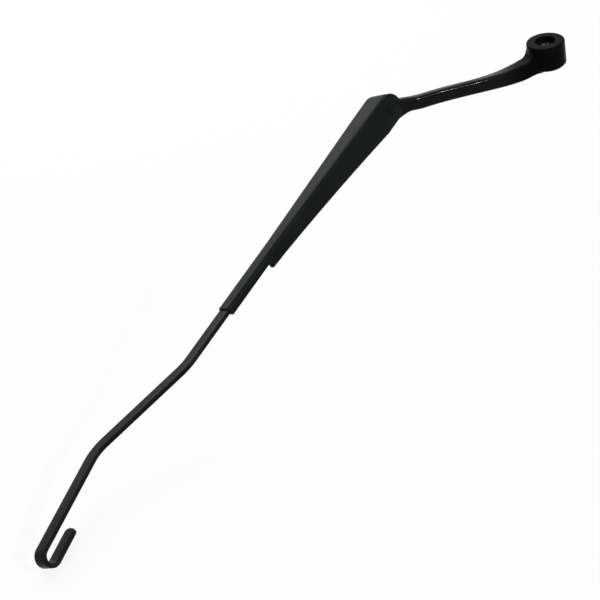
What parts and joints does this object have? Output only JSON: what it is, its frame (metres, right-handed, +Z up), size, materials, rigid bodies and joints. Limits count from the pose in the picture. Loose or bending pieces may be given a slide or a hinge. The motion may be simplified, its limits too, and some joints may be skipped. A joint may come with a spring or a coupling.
{
  "type": "windscreen wiper arm",
  "caption": "Sprung windscreen wiper arm with a cast boss and neck, folded sheet retainer, cranked flat rod and hook end for a wiper blade.",
  "frame": {"origin": "on the spindle axis, level with the nut seat in the boss", "axes": "+Z up the spindle towards the nut, +X along the neck towards the hinge as seen from above, +Y to the left of it"},
  "size_m": [0.4449, 0.2066, 0.1303],
  "materials": {
    "head_coat": "semi-gloss black",
    "sheet_coat": "satin black",
    "rod_coat": "semi-gloss black",
    "pin_steel": "blackened",
    "bush_bronze": "machined",
    "spring_steel": "zinc phosphate",
    "link_steel": "bright zinc"
  },
  "bodies": {
    "head": {"mounting_head": "head_coat", "hinge_bush_near": "bush_bronze", "hinge_bush_far": "bush_bronze", "anchor_pin": "link_steel"},
    "arm": {"retainer": "sheet_coat", "hinge_pin": "pin_steel", "wiper_rod": "rod_coat", "tension_spring": "spring_steel"},
    "link": {"spring_link": "link_steel"}
  },
  "joints": [
    {"name": "arm_lift", "type": "hinge", "parent": "head", "child": "arm", "pos_m": [0.1232, 0, -0.0068], "axis": [0.4481, -0.8437, -0.2955], "range_deg": [0, 60], "stiffness_Nm_per_rad": 0.5, "springref_deg": -114.59},
    {"name": "spring_draw", "type": "slide", "parent": "arm", "child": "link", "axis": [-0.8257, -0.5173, 0.225], "range_m": [0, 0.0061], "deforming": ["tension_spring"]}
  ],
  "couplings": [
    {"joint": "spring_draw", "follows": "arm_lift", "m_per_rad": 0.0057296}
  ]
}
